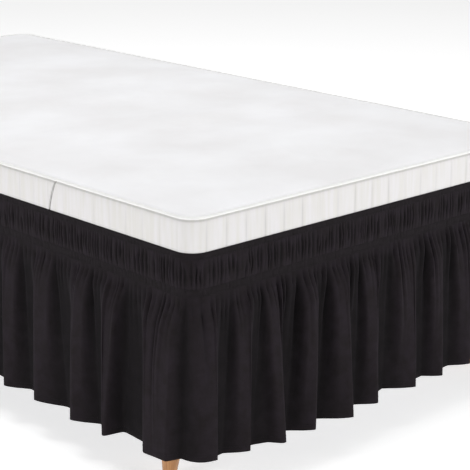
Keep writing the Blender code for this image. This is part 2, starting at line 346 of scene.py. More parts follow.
def foldLine():
    # every big fold round the bed, those that show and the rest, back to the first
    dice = random.Random(hiddenFolds["seed"])
    driftDice = random.Random(hiddenFolds["seed"] + 1)
    run = shownFolds[-1][0]
    space = loopLength + shownFolds[0][0] - run
    bends = 2 * round(space / sum(hiddenFolds["pitch"])) + 1
    pitches = [dice.uniform(*hiddenFolds["pitch"]) for _ in range(bends)]
    folds = list(shownFolds)
    for i in range(bends - 1):
        run += pitches[i] * space / sum(pitches)
        reach = dice.uniform(*hiddenFolds["troughReach" if i % 2 == 0 else "crestReach"])
        lift = dice.uniform(*hiddenFolds["lift"])
        topRun = run + driftDice.uniform(-1, 1) * hiddenFolds["drift"]
        folds.append((run, reach, lift, topRun, driftDice.uniform(*hiddenFolds["opening"])))
    hemRun, reach, lift, topRun, opening = shownFolds[0]
    folds.append((hemRun + loopLength, reach, lift, topRun + loopLength, opening))
    return folds


def gatherStops(start, end, pitch, dice):
    # uneven steps from slit to slit that exactly fill the stretch
    count = max(2, round((end - start) / (sum(pitch) / 2)))
    steps = [dice.uniform(*pitch) for _ in range(count)]
    stops = [start]
    for step in steps:
        stops.append(stops[-1] + step * (end - start) / sum(steps))
    return stops


def nearestRow(table, run, within):
    best = min(table, key=lambda row: abs(row[0] - run))
    return best if abs(best[0] - run) < within else None


def slitValues(stop, atTrough, dice):
    near = nearestRow(shownSlits, stop, within=0.001)
    if near:
        return near[1:]
    if atTrough:
        return ruffle["troughSlit"]
    return dice.uniform(*ruffle["slitDepth"]), dice.uniform(*ruffle["slitFade"])


def ridgeValues(middle, dice):
    near = nearestRow(shownRidges, middle, ruffle["ridgeSnap"])
    height, fade = dice.uniform(*ruffle["ridgeHeight"]), dice.uniform(*ruffle["ridgeFade"])
    if near:
        return near[1] * ruffle["shownRidgeBoost"], near[2]
    if middle > shownFolds[-1][3] and dice.random() < ruffle["longRidgeShare"]:
        height, fade = ruffle["longRidge"]
        fade *= dice.uniform(*ruffle["longRidgeSpread"])
    return height, fade


def flankShape(crest, isAfter):
    # folds that show slope down towards the near corner and drop steeply away from it
    if crest[0] > shownFolds[-1][0]:
        return flankShapes["hidden"]
    if isAfter == (crest[0] < 0):
        return flankShapes[ownFlanks.get(crest[0], "near")]
    return flankShapes["far"]


def ruffleColumns():
    # one dictionary of values for each vertical line of points
    dice = random.Random(ruffle["seed"])
    folds = foldLine()
    columns = []
    for i in range(0, len(folds) - 1, 2):
        before, crest, after = folds[i:i + 3]
        stops = gatherStops(before[3], after[3], ruffle["pitch"], dice)
        for j in range(1, len(stops) - 1):
            near = nearestRow(shownSlits, stops[j], ruffle["slitSnap"])
            stops[j] = near[0] if near else stops[j]
        last = len(stops) - 1
        slits = [slitValues(stop, j in (0, last), dice) for j, stop in enumerate(stops)]
        for j in range(last):
            ridge = ridgeValues((stops[j] + stops[j + 1]) / 2, dice)
            for phase in gatherPhases:
                run = stops[j] + (stops[j + 1] - stops[j]) * phase
                side = before if run < crest[3] else after
                slit = slits[j] if phase < 0.5 else slits[j + 1]
                under, atHem, settled, facet = flankShape(crest, side is after)
                columns.append({
                    "topShoulder": under[0], "topFoot": under[1],
                    "shoulder": atHem[0], "flankFoot": atHem[1],
                    "settled": settled, "facet": facet,
                    "crestTop": crest[3], "crestHem": crest[0],
                    "troughTop": side[3], "troughHem": side[0],
                    "crestReach": crest[1], "troughReach": side[1],
                    "crestLift": crest[2], "troughLift": side[2],
                    "opening": crest[4],
                    "away": min(1.0, abs(run - crest[3]) / abs(side[3] - crest[3])),
                    "hump": math.sin(math.pi * phase),
                    "slitDepth": slit[0], "slitFade": slit[1],
                    "ridgeHeight": ridge[0], "ridgeFade": ridge[1],
                    "run": run,
                })
    return columns


def columnMesh(name, columns):
    # a closed line of points round the bed that carries each column's values
    mesh = bpy.data.meshes.new(name)
    mesh.from_pydata([loopAt(column["run"])[0] for column in columns],
                     closedLine(len(columns)), [])
    for key in columns[0]:
        layer = mesh.attributes.new(key, "FLOAT", "POINT")
        layer.data.foreach_set("value", [column[key] for column in columns])
    return mesh


# a Map Range's inputs stand in order: its value, from low, from high, to low, to high
eased = {"interpolation_type": "SMOOTHSTEP"}     # for one that starts and ends gently


def columnValues(add, names):
    # reads the values that each column of points carries
    return {name: add("GeometryNodeInputNamedAttribute", {"Name": name}, data_type="FLOAT")
            for name in names.split()}


def sweepRows(add, given):
    # sweeps the line of columns into rows, and gives each point its share of the way down
    line = add("GeometryNodeMeshToCurve", given["Geometry"])
    profile = add("GeometryNodeCurvePrimitiveLine", {
        "Start": (0, 0, 0), "End": (0, 0.01, 0)}, mode="POINTS")
    profile = add("GeometryNodeResampleCurve", {
        "Curve": profile, "Count": given["Rows"]}, mode="COUNT")
    along = add("GeometryNodeSplineParameter")
    profile = add("GeometryNodeStoreNamedAttribute", {
        "Geometry": profile, "Name": "rowShare", "Value": along.outputs["Factor"]},
        data_type="FLOAT", domain="POINT")
    cloth = add("GeometryNodeCurveToMesh", {"Curve": line, "Profile Curve": profile})
    share = columnValues(add, "rowShare")["rowShare"]
    return cloth, add("ShaderNodeMath", share, given["Row crowding"], operation="POWER")


def fadeOut(add, far, reach):
    # 1 where it starts, dying away over its reach
    age = add("ShaderNodeMath", far, reach, operation="DIVIDE")
    age = add("ShaderNodeMath", age, age, operation="MULTIPLY")
    age = add("ShaderNodeMath", age, -1.0, operation="MULTIPLY")
    return add("ShaderNodeMath", age, operation="EXPONENT")


def slitBetween(add, column, sharpness):
    # how far the cloth dips between two gathers; less sharpness makes a narrower slit
    ridge = add("ShaderNodeMath", column["hump"], sharpness, operation="POWER")
    dip = add("ShaderNodeMath", 1.0, ridge, operation="SUBTRACT")
    return add("ShaderNodeMath", dip, column["slitDepth"], operation="MULTIPLY")


def hangOnRail(add, cloth, run, reach, height):
    # puts each point on the bed's rail, this far out and this high
    spot = add("GeometryNodeGroup", {"Run": run}, node_tree=bedRail)
    out = add("ShaderNodeVectorMath", spot.outputs["Outward"], {"Scale": reach},
              operation="SCALE")
    up = add("ShaderNodeCombineXYZ", {"Z": height})
    place = add("ShaderNodeVectorMath", spot.outputs["Point"], out)
    place = add("ShaderNodeVectorMath", place, up)
    return add("GeometryNodeSetPosition", {"Geometry": cloth, "Position": place})


def storePaintedShade(add, cloth, slit, slitShadeGain, brushed):
    # stores the cloth's painted light and shade: painted shade where a slit is deep, and
    # elsewhere as much painted light as brushed gives
    napUp = add("ShaderNodeMath", slit, -slitShadeGain, brushed, operation="MULTIPLY_ADD",
                use_clamp=True)
    return add("GeometryNodeStoreNamedAttribute", {
        "Geometry": cloth, "Name": "napUp", "Value": napUp}, data_type="FLOAT", domain="POINT")


def hangRuffleTree():
    # hangs gathered cloth: narrow slits at the band that open into the big folds of the hem
    tree, given, result = newTree("hangRuffle", {
        "Geometry": "Geometry", "Rows": 24, "Row crowding": 1.6,
        "Top": 0.4, "Hem": 0.0, "Tuck share": 0.01,
        "Tucked reach": 0.002, "Least reach": 0.002,
        "Gathers drawn in": 1.45, "Crest roundness": 0.12, "Eased start": 0.20,
        "Ripple": 0.003, "Material": "Material",
    }, {"Geometry": "Geometry"})
    add = partial(addNode, tree)
    cloth, share = sweepRows(add, given)
    column = columnValues(
        add, "crestTop crestHem troughTop troughHem crestReach troughReach crestLift troughLift "
        "opening topShoulder topFoot shoulder flankFoot settled facet away hump slitDepth "
        "slitFade ridgeHeight ridgeFade")
    below = add("ShaderNodeMapRange", share, given["Tuck share"])

    # the gathers run together towards each crest, most of all halfway down
    drawIn = add("ShaderNodeMapRange", below, 0.0, 0.50, 1.0, given["Gathers drawn in"], **eased)
    letGo = add("ShaderNodeMapRange", below, 0.50, 1.0, 0.0, 0.25, **eased)
    crowd = add("ShaderNodeMath", drawIn, letGo, operation="SUBTRACT")
    away = add("ShaderNodeMath", column["away"], crowd, operation="POWER")
    crest = add("ShaderNodeMix", {0: below, 2: column["crestTop"], 3: column["crestHem"]})
    trough = add("ShaderNodeMix", {0: below, 2: column["troughTop"], 3: column["troughHem"]})
    run = add("ShaderNodeMix", {0: away, 2: crest, 3: trough})

    # the big folds: a broad crest, a steep flank that moves in towards the crest lower down,
    # and a broad trough
    shoulder = add("ShaderNodeMapRange", below, 0.0, column["settled"], column["topShoulder"],
                   column["shoulder"])
    footing = add("ShaderNodeMapRange", below, 0.0, column["settled"], column["topFoot"],
                  column["flankFoot"])
    step = add("ShaderNodeMapRange", away, shoulder, footing, 1.0, 0.0, **eased)

    # lower down the flank eases into one flat slope, round only at its crest
    roundness = given["Crest roundness"]
    slope = add("ShaderNodeMath", roundness, 2.0, operation="POWER")
    slope = add("ShaderNodeMath", away, away, slope, operation="MULTIPLY_ADD")
    slope = add("ShaderNodeMath", slope, operation="SQRT")
    slope = add("ShaderNodeMapRange", slope, roundness, 1.0, 1.0, 0.0)
    flat = add("ShaderNodeMapRange", below, 0.40, 1.0, 0.12, 1.0, **eased)
    flat = add("ShaderNodeMath", flat, column["facet"], 0.05, operation="MULTIPLY_ADD")
    arch = add("ShaderNodeMix", {0: flat, 2: step, 3: slope})
    spread = add("ShaderNodeMath", below, column["opening"], operation="POWER")
    ease = add("ShaderNodeMapRange", below, 0.0, given["Eased start"], **eased)
    spread = add("ShaderNodeMath", spread, ease, operation="MULTIPLY")
    fold = add("ShaderNodeMath", column["crestReach"], column["troughReach"],
               operation="SUBTRACT")
    fold = add("ShaderNodeMath", fold, arch, operation="MULTIPLY")
    fold = add("ShaderNodeMath", fold, spread, operation="MULTIPLY")
    leave = add("ShaderNodeMapRange", below, 0.0, 0.11, **eased)
    floor = add("ShaderNodeMix", {0: leave, 2: given["Tucked reach"], 3: column["troughReach"]})
    reach = add("ShaderNodeMath", floor, fold, operation="ADD")

    # ridges: broad at the band, sharper lower down, until they die out
    sharpness = add("ShaderNodeMapRange", below, 0.0, 0.30, 0.6, 2.0)
    ridge = add("ShaderNodeMath", column["hump"], sharpness, operation="POWER")
    ridge = add("ShaderNodeMath", ridge, column["ridgeHeight"], operation="MULTIPLY")
    swell = add("ShaderNodeMapRange", below, 0.0, 0.035, 0.15, 1.0, **eased)
    ridge = add("ShaderNodeMath", ridge, swell, operation="MULTIPLY")
    ridgeLife = fadeOut(add, below, column["ridgeFade"])
    reach = add("ShaderNodeMath", ridge, ridgeLife, reach, operation="MULTIPLY_ADD")

    # slits: narrow and dark at the band, soft dips lower down
    sharpness = add("ShaderNodeMapRange", below, 0.0, 0.25, 0.35, 1.1)
    slit = slitBetween(add, column, sharpness)
    dip = add("ShaderNodeMapRange", below, 0.0, 0.012, 0.1, 1.0, **eased)
    slit = add("ShaderNodeMath", slit, dip, operation="MULTIPLY")
    slitLife = fadeOut(add, below, column["slitFade"])
    slit = add("ShaderNodeMath", slit, slitLife, operation="MULTIPLY")
    reach = add("ShaderNodeMath", reach, slit, operation="SUBTRACT")

    height = add("ShaderNodeMix", {0: share, 2: given["Top"], 3: given["Hem"]})
    lift = add("ShaderNodeMix", {0: away, 2: column["crestLift"], 3: column["troughLift"]})
    height = add("ShaderNodeMath", lift, below, height, operation="MULTIPLY_ADD")

    # slow unevenness that grows towards the hem
    spot = add("GeometryNodeGroup", {"Run": run}, node_tree=bedRail)
    up = add("ShaderNodeMath", height, 0.35, operation="MULTIPLY")
    up = add("ShaderNodeCombineXYZ", {"Z": up})
    place = add("ShaderNodeVectorMath", spot.outputs["Point"], up)
    uneven = add("ShaderNodeTexNoise", {"Vector": place, "Scale": 22.0, "Detail": 1.0})
    uneven = add("ShaderNodeMath", uneven, 0.5, operation="SUBTRACT")
    uneven = add("ShaderNodeMath", uneven, given["Ripple"], operation="MULTIPLY")
    reach = add("ShaderNodeMath", uneven, below, reach, operation="MULTIPLY_ADD")
    least = add("ShaderNodeMapRange", below, 0.0, 0.01, 0.0015, given["Least reach"])
    reach = add("ShaderNodeMath", reach, least, operation="MAXIMUM")
    hung = hangOnRail(add, cloth, run, reach, height)

    # painted light on the crests, and under the band before the folds open; painted shade in the
    # troughs
    litUnderBand = add("ShaderNodeMapRange", below, 0.0, 0.16, 0.75, 0.0, **eased)
    brushed = add("ShaderNodeMath", arch, litUnderBand, operation="MAXIMUM")
    paintedCloth = storePaintedShade(add, hung, slit, slitShadeGain=90.0, brushed=brushed)
    finishTree(tree, paintedCloth, given["Material"], result)
    return tree


def shirredStripTree():
    # a strip drawn up into little upright ridges with spindle-shaped slits between them
    tree, given, result = newTree("shirredStrip", {
        "Geometry": "Geometry", "Rows": 12, "Row crowding": 1.0,
        "Top": 0.0, "Foot": 0.0,
        "Reach at top": 0.002, "Reach in middle": 0.005, "Reach at foot": 0.002,
        "Slit sharpness at ends": 0.12, "Slit sharpness in middle": 0.6,
        "Slit taper": 0.45, "Wander": 0.004, "Least reach": 0.0014, "Material": "Material",
    }, {"Geometry": "Geometry"})
    add = partial(addNode, tree)
    cloth, share = sweepRows(add, given)
    column = columnValues(add, "run hump slitDepth slitMiddle slitSpan tilt swell")
    turn = add("ShaderNodeMath", share, math.pi, operation="MULTIPLY")
    bow = add("ShaderNodeMath", turn, operation="SINE")
    bow = add("ShaderNodeMath", bow, 0.0, operation="MAXIMUM")
    reach = add("ShaderNodeMix", {0: share, 2: given["Reach at top"],
                                  3: given["Reach at foot"]})
    bulge = add("ShaderNodeMath", given["Reach in middle"], reach, operation="SUBTRACT")
    bulge = add("ShaderNodeMath", bulge, column["swell"], operation="MULTIPLY")
    reach = add("ShaderNodeMath", bulge, bow, reach, operation="MULTIPLY_ADD")

    # each slit is deepest at its own height and dies out above and below
    sharpness = add("ShaderNodeMix", {0: bow, 2: given["Slit sharpness at ends"],
                                      3: given["Slit sharpness in middle"]})
    slit = slitBetween(add, column, sharpness)
    taper = add("ShaderNodeMath", bow, given["Slit taper"], operation="POWER")
    slit = add("ShaderNodeMath", slit, taper, operation="MULTIPLY")
    far = add("ShaderNodeMath", share, column["slitMiddle"], operation="SUBTRACT")
    life = fadeOut(add, far, column["slitSpan"])
    slit = add("ShaderNodeMath", slit, life, operation="MULTIPLY")
    reach = add("ShaderNodeMath", reach, slit, operation="SUBTRACT")
    reach = add("ShaderNodeMath", reach, given["Least reach"], operation="MAXIMUM")

    # it leans, and wanders a little on its way down
    lean = add("ShaderNodeMath", share, 0.5, operation="SUBTRACT")
    run = add("ShaderNodeMath", lean, column["tilt"], column["run"], operation="MULTIPLY_ADD")
    down = add("ShaderNodeMath", share, 0.035, operation="MULTIPLY")
    place = add("ShaderNodeCombineXYZ", column["run"], down)
    wander = add("ShaderNodeTexNoise", {"Vector": place, "Scale": 75.0, "Detail": 0.0})
    wander = add("ShaderNodeMath", wander, 0.5, operation="SUBTRACT")
    run = add("ShaderNodeMath", wander, given["Wander"], run, operation="MULTIPLY_ADD")
    height = add("ShaderNodeMix", {0: share, 2: given["Top"], 3: given["Foot"]})
    hung = hangOnRail(add, cloth, run, reach, height)
    # painted shade in each slit, painted light elsewhere
    paintedCloth = storePaintedShade(add, hung, slit, slitShadeGain=380.0, brushed=1.15)
    finishTree(tree, paintedCloth, given["Material"], result)
    return tree


def stripColumns(sizes):
    # columns for a shirred strip: uneven gathers, each slit with its own depth and tilt
    dice = random.Random(sizes["seed"])
    stops = gatherStops(0.0, loopLength, sizes["pitch"], dice)
    shallowest, deepest = sizes["slitDepth"]
    slits = []
    for _ in stops:
        deep = dice.random() ** sizes["fewDeep"]
        slits.append((shallowest + (deepest - shallowest) * deep,
                      dice.uniform(-1, 1) * sizes["tilt"],
                      dice.uniform(*sizes["slitMiddle"]), dice.uniform(*sizes["slitSpan"])))
    slits[-1] = slits[0]
    columns = []
    for j in range(len(stops) - 1):
        swell = dice.uniform(*sizes["swell"])
        for phase in gatherPhases:
            slit = slits[j] if phase < 0.5 else slits[j + 1]
            columns.append({
                "run": stops[j] + (stops[j + 1] - stops[j]) * phase,
                "hump": math.sin(math.pi * phase),
                "slitDepth": slit[0], "slitMiddle": slit[2], "slitSpan": slit[3],
                "tilt": slits[j][1] * (1 - phase) + slits[j + 1][1] * phase,
                "swell": 1.0 + (swell - 1.0) * math.sin(math.pi * phase),
            })
    return columns


def railLine(name, rows, step):
    # closed lines of points round the bed, one for each reach and height
    mesh = bpy.data.meshes.new(name)
    count = round(loopLength / step)
    points = []
    edges = []
    for reach, height in rows:
        edges += closedLine(count, len(points))
        for i in range(count):
            spot, outward = loopAt(i * loopLength / count)
            points.append(spot + outward * reach + Vector((0, 0, height)))
    mesh.from_pydata(points, edges, [])
    return mesh


def stitchRowTree():
    # a row of raised stitches along a line
    tree, given, result = newTree("stitchRow", {
        "Geometry": "Geometry", "Spacing": 0.005, "Stitch length": 0.0034,
        "Thread thickness": 0.0007, "Material": "Material",
    }, {"Geometry": "Geometry"})
    add = partial(addNode, tree)
    line = add("GeometryNodeMeshToCurve", given["Geometry"])
    marks = add("GeometryNodeCurveToPoints", {
        "Curve": line, "Length": given["Spacing"]}, mode="LENGTH")
    stitch = add("GeometryNodeMeshIcoSphere", {"Radius": 0.5, "Subdivisions": 1})
    size = add("ShaderNodeCombineXYZ", given["Thread thickness"], given["Thread thickness"],
               given["Stitch length"])
    row = add("GeometryNodeInstanceOnPoints", {
        "Points": marks.outputs["Points"], "Instance": stitch.outputs["Mesh"],
        "Rotation": marks.outputs["Rotation"], "Scale": size})
    finishTree(tree, row, given["Material"], result)
    return tree


def cordTree():
    # a round cord along a line
    tree, given, result = newTree("cord", {
        "Geometry": "Geometry", "Radius": 0.0035, "Sides": 10, "Material": "Material",
    }, {"Geometry": "Geometry"})
    add = partial(addNode, tree)
    line = add("GeometryNodeMeshToCurve", given["Geometry"])
    ring = add("GeometryNodeCurvePrimitiveCircle", {
        "Resolution": given["Sides"], "Radius": given["Radius"]}, mode="RADIUS")
    tube = add("GeometryNodeCurveToMesh", {
        "Curve": line, "Profile Curve": ring.outputs["Curve"], "Fill Caps": True})
    finishTree(tree, tube, given["Material"], result)
    return tree


def newMaterial(name):
    # an empty material, and what adds nodes to it
    material = bpy.data.materials.new(name)
    material.use_nodes = True
    material.node_tree.nodes.clear()
    return material, partial(addNode, material.node_tree)


def mottled(add, pattern, dark, light, low=0.0, high=1.0):
    # a colour that goes from dark to light as a pattern goes from low to high
    share = add("ShaderNodeMapRange", pattern, low, high)
    return add("ShaderNodeMix", {0: share, 6: srgb(dark), 7: srgb(light)},
               data_type="RGBA").outputs[2]


def shadedBy(add, attribute, plain, shaded):
    # one colour where the piece's attribute is 0, and the other where it is 1
    amount = add("ShaderNodeAttribute", attribute_name=attribute).outputs["Fac"]
    return add("ShaderNodeMix", {0: amount, 6: plain, 7: shaded}, data_type="RGBA").outputs[2]


def finishMaterial(add, surface):
    shader = add("ShaderNodeBsdfPrincipled", surface)
    add("ShaderNodeOutputMaterial", {"Surface": shader})


def blackMicrofibre(name, dark, light, cloudScale, napDepth):
    # polyester microfibre, woven fine and brushed: near black and matt, a little cloudy where
    # the nap lies this way and that, with a soft sheen where the cloth turns from the eye
    material, add = newMaterial(name)
    place = add("ShaderNodeTexCoord").outputs["Object"]
    cloud = add("ShaderNodeTexNoise", {
        "Vector": place, "Scale": cloudScale, "Detail": 5.0, "Roughness": 0.65})
    # raised is the painted-light colour for crests and flat the painted-shade colour for slits
    # and troughs, both cloudy
    raised = mottled(add, cloud, dark, light, 0.30, 0.70)
    flat = mottled(add, cloud, "#100E0F", "#1A1719", 0.30, 0.70)
    dull = add("ShaderNodeMapRange", cloud, 0.0, 1.0, 0.78, 0.92)
    # threads are 0.2 mm, too fine to show, so the nap is drawn at about 1.5 mm
    nap = add("ShaderNodeTexNoise", {
        "Vector": place, "Scale": 650.0, "Detail": 2.0, "Roughness": 0.6})
    crumple = add("ShaderNodeTexNoise", {"Vector": place, "Scale": 90.0, "Detail": 2.0})
    soft = add("ShaderNodeBump", {"Height": crumple, "Strength": 0.35, "Distance": 0.0012})
    fuzzy = add("ShaderNodeBump", {
        "Height": nap, "Strength": 0.3, "Distance": napDepth, "Normal": soft})
    finishMaterial(add, {
        "Base Color": shadedBy(add, "napUp", flat, raised), "Roughness": dull, "IOR": 1.45,
        "Specular IOR Level": 0.10, "Sheen Weight": 0.04, "Sheen Roughness": 0.5,
        "Sheen Tint": srgb("#B9B2C2"), "Normal": fuzzy})
    return material


def blackThread():
    # spun polyester sewing thread: black, slightly glossier than the cloth it holds
    material, add = newMaterial("black polyester thread")
    place = add("ShaderNodeTexCoord").outputs["Object"]
    twist = add("ShaderNodeTexNoise", {"Vector": place, "Scale": 900.0, "Detail": 1.0})
    finishMaterial(add, {
        "Base Color": mottled(add, twist, "#141114", "#1E1B1E"),
        "Roughness": 0.62, "Specular IOR Level": 0.15})
    return material


def knittedTicking():
    # knitted cotton ticking over thin wadding: matt white with a fine pebbled stitch, greyed a
    # little by painted shade where seams pull it in
    material, add = newMaterial("knitted cotton ticking")
    place = add("ShaderNodeTexCoord").outputs["Object"]
    cloud = add("ShaderNodeTexNoise", {"Vector": place, "Scale": 5.0, "Detail": 3.0})
    white = mottled(add, cloud, "#EAE9EA", "#F2F2F4", 0.33, 0.67)
    # stitches are under 1 mm, so they are drawn at about 3 mm
    pebble = add("ShaderNodeTexVoronoi", {"Vector": place, "Scale": 330.0})
    wadding = add("ShaderNodeTexNoise", {"Vector": place, "Scale": 28.0, "Detail": 2.0})
    soft = add("ShaderNodeBump", {"Height": wadding, "Strength": 0.25, "Distance": 0.003})
    knit = add("ShaderNodeBump", {
        "Height": pebble.outputs["Distance"], "Strength": 0.15, "Distance": 0.0005,
        "Normal": soft})
    finishMaterial(add, {
        "Base Color": shadedBy(add, "paintedShade", white, srgb("#6E6D66")), "Roughness": 0.9,
        "Specular IOR Level": 0.15, "Sheen Weight": 0.05, "Sheen Roughness": 0.5,
        "Normal": knit})
    return material


def quiltedBorder():
    # the same ticking quilted on a border machine: fine upright ribs between the deeper lines,
    # which take painted shade where they pull it in, and under the piping
    material, add = newMaterial("quilted border ticking")
    layout = add("ShaderNodeUVMap", uv_map="roundAndUp")
    # ribs stand about 9 mm apart round the side and run unevenly up it
    ribs = add("ShaderNodeMapping", {"Vector": layout, "Scale": (110.0, 9.0, 1.0)})
    ribs = add("ShaderNodeTexNoise", {"Vector": ribs, "Scale": 1.0, "Detail": 2.0},
               noise_dimensions="2D")
    white = mottled(add, ribs, "#DAD8D5", "#DFDDDE", 0.3, 0.7)
    relief = add("ShaderNodeBump", {"Height": ribs, "Strength": 0.09, "Distance": 0.0006})
    finishMaterial(add, {
        "Base Color": shadedBy(add, "paintedShade", white, srgb("#5F5E58")), "Roughness": 0.9,
        "Specular IOR Level": 0.15, "Normal": relief})
    return material


def cottonPiping():
    # cotton tape sewn over cord: clean bright white with faint slanting wrinkles
    material, add = newMaterial("white cotton piping tape")
    place = add("ShaderNodeTexCoord").outputs["Object"]
    wrinkle = add("ShaderNodeTexNoise", {"Vector": place, "Scale": 180.0, "Detail": 2.0})
    relief = add("ShaderNodeBump", {"Height": wrinkle, "Strength": 0.25, "Distance": 0.0006})
    finishMaterial(add, {
        "Base Color": mottled(add, wrinkle, "#E6E6E4", "#EEEEED"), "Roughness": 0.7,
        "Specular IOR Level": 0.2, "Normal": relief})
    return material


def wovenBaseCloth():
    # plain grey upholstery cloth in a coarse tabby weave, matt
    material, add = newMaterial("grey woven base cloth")
    place = add("ShaderNodeTexCoord").outputs["Object"]
    # yarns are about 1 mm; they cross in both directions
    across, upright = (
        add("ShaderNodeTexWave", {"Vector": place, "Scale": 160.0, "Distortion": 0.6},
            bands_direction=axis).outputs["Fac"] for axis in "XZ")
    yarn = add("ShaderNodeMath", across, upright, operation="MAXIMUM")
    relief = add("ShaderNodeBump", {"Height": yarn, "Strength": 0.4, "Distance": 0.0005})
    finishMaterial(add, {
        "Base Color": mottled(add, yarn, "#7B7B7E", "#9A9A9D"), "Roughness": 0.92,
        "Specular IOR Level": 0.15, "Normal": relief})
    return material


def turnedBeech():
    # beech turned on a lathe, stained light brown and lacquered satin: straight grain down
    # the leg with short dark flecks
    material, add = newMaterial("satin lacquered beech")
    place = add("ShaderNodeTexCoord").outputs["Object"]
    # growth rings 3 mm wide, drawn out along the leg
    grain = add("ShaderNodeMapping", {"Vector": place, "Scale": (330.0, 330.0, 11.0)})
    grain = add("ShaderNodeTexNoise", {"Vector": grain, "Scale": 1.0, "Detail": 3.0})
    flecks = add("ShaderNodeMapping", {"Vector": place, "Scale": (900.0, 900.0, 120.0)})
    flecks = add("ShaderNodeTexNoise", {"Vector": flecks, "Scale": 1.0})
    flecks = add("ShaderNodeMapRange", flecks, 0.62, 0.72, 0.0, 0.35)
    wood = mottled(add, grain, "#A66F3C", "#C08A54", 0.3, 0.7)
    wood = add("ShaderNodeMix", {0: flecks, 6: wood, 7: srgb("#7A4A24")}, data_type="RGBA")
    relief = add("ShaderNodeBump", {"Height": grain, "Strength": 0.08, "Distance": 0.0004})
    finishMaterial(add, {
        "Base Color": wood.outputs[2], "Roughness": 0.42, "IOR": 1.5,
        "Coat Weight": 0.35, "Coat Roughness": 0.25, "Normal": relief})
    return material


def studioPaper():
    # seamless white paper lit from all round, so the ground stays pale under the bed too
    material, add = newMaterial("white studio paper")
    place = add("ShaderNodeTexCoord").outputs["Object"]
    tone = add("ShaderNodeTexNoise", {"Vector": place, "Scale": 0.8, "Detail": 2.0})
    finishMaterial(add, {
        "Base Color": mottled(add, tone, "#F3F3F3", "#F7F7F7"), "Roughness": 0.95,
        "Specular IOR Level": 0.1, "Emission Color": (1.0, 1.0, 1.0, 1.0),
        "Emission Strength": 0.52})
    return material


skirtCloth = blackMicrofibre("brushed black microfibre", "#1C1819", "#262126", 38.0, 0.0005)
bandCloth = blackMicrofibre("elastic casing in black microfibre", "#181516", "#221E21", 60.0,
                            0.0003)
thread = blackThread()
ticking = knittedTicking()
border = quiltedBorder()
pipingTape = cottonPiping()
baseCloth = wovenBaseCloth()
beech = turnedBeech()
paper = studioPaper()
print("materials ready")

ruffleMesh = columnMesh("ruffle_cloth", ruffleColumns())
columnCount = len(ruffleMesh.vertices)
ruffleCloth = growPiece("ruffle_cloth", ruffleMesh, hangRuffleTree(), {
    "Rows": ruffle["rows"],
    "Row crowding": ruffle["rowCrowding"],
    "Top": ruffleTop + ruffle["tuck"],
    "Hem": hemHeight,
    "Tuck share": ruffle["tuck"] / (ruffleTop + ruffle["tuck"] - hemHeight),
    "Tucked reach": ruffle["tuckedReach"],
    "Least reach": ruffle["leastReach"],
    "Ripple": ruffle["ripple"],
    "Material": skirtCloth,
})
turnOutward(ruffleCloth)

stitching = {
    "spacing": 0.0048,
    "length": 0.0033,
    "thread": 0.0007,
    "aboveHem": 0.012,
    "offCloth": 0.0002,       # how far the hem's stitches stand off the cloth
    "fromEdge": 0.0022,       # how far the casing rows stand in from a band's edges
    "rowStep": 0.008,         # metres between the points of a casing row
}


def hemLine():
    # the line of the hem's stitches, just clear of the ruffle's outer face
    rows = ruffle["rows"]
    vertices = ruffleCloth.data.vertices
    line = []
    for i in range(columnCount):
        column = [vertices[i * rows + k].co.copy() for k in range(rows)]
        low, high = sorted(column, key=lambda point: point.z)[:2]
        line.append(low.lerp(high, min(1.0, stitching["aboveHem"] / (high.z - low.z))))
    points = []
    for i, point in enumerate(line):
        ahead = line[(i + 1) % columnCount] - line[i - 1]
        outward = Vector((ahead.y, -ahead.x, 0))
        outward = outward.normalized() if outward.length > 0 else Vector((0, 0, 0))
        points.append(point + outward * stitching["offCloth"])
    length = sum((line[i] - line[i - 1]).length for i in range(columnCount))
    mesh = bpy.data.meshes.new("hem_stitches")
    mesh.from_pydata(points, closedLine(columnCount), [])
    return mesh, length


hemMesh, hemLength = hemLine()
giveThickness(ruffleCloth, ruffle["thickness"])
print("ruffle hung:", columnCount, "columns, hem", round(hemLength, 2), "m along its folds")

heading = {
    "rows": 12,
    "tuck": 0.003,                         # how far it goes behind each band
    "reach": (0.0019, 0.0054, 0.0019),     # top, middle, foot
    "thickness": 0.0008,
    "pitch": (0.0052, 0.0128),
    "slitDepth": (0.0014, 0.0066),
    "slitMiddle": (0.20, 0.80),            # where down the strip a slit is deepest
    "slitSpan": (0.30, 0.95),              # how far it runs above and below that
    "sharpness": (0.40, 1.30),             # of a slit at its ends and middle; less is narrower
    "fewDeep": 0.8,                        # above 1 leaves fewer of the slits deep
    "tilt": 0.007,
    "swell": (0.55, 1.25),
    "seed": 41,
}
topBand = {
    "rows": 6,
    "reach": (0.0017, 0.0023, 0.0021),
    "thickness": 0.0011,
    "pitch": (0.006, 0.018),
    "slitDepth": (0.0001, 0.0010),
    "slitMiddle": (0.3, 0.9),
    "slitSpan": (0.3, 0.8),
    "sharpness": (0.12, 0.60),
    "fewDeep": 1.6,
    "tilt": 0.003,
    "swell": (0.8, 1.2),
    "seed": 42,
}
lowerBand = {
    "rows": 7,
    "reach": (0.0021, 0.0026, 0.0026),
    "thickness": 0.0011,
    "pitch": (0.006, 0.015),
    "slitDepth": (0.0002, 0.0014),
    "slitMiddle": (0.1, 0.9),
    "slitSpan": (0.3, 0.8),
    "sharpness": (0.12, 0.60),
    "fewDeep": 1.4,
    "tilt": 0.003,
    "swell": (0.8, 1.2),
    "seed": 43,
}
stripTree = shirredStripTree()


def growStrip(name, sizes, top, foot, material):
    strip = growPiece(name, columnMesh(name, stripColumns(sizes)), stripTree, {
        "Rows": sizes["rows"],
        "Top": top,
        "Foot": foot,
        "Reach at top": sizes["reach"][0],
        "Reach in middle": sizes["reach"][1],
        "Reach at foot": sizes["reach"][2],
        "Slit sharpness at ends": sizes["sharpness"][0],
        "Slit sharpness in middle": sizes["sharpness"][1],
        "Material": material,
    })
    turnOutward(strip)
    giveThickness(strip, sizes["thickness"])
    return strip


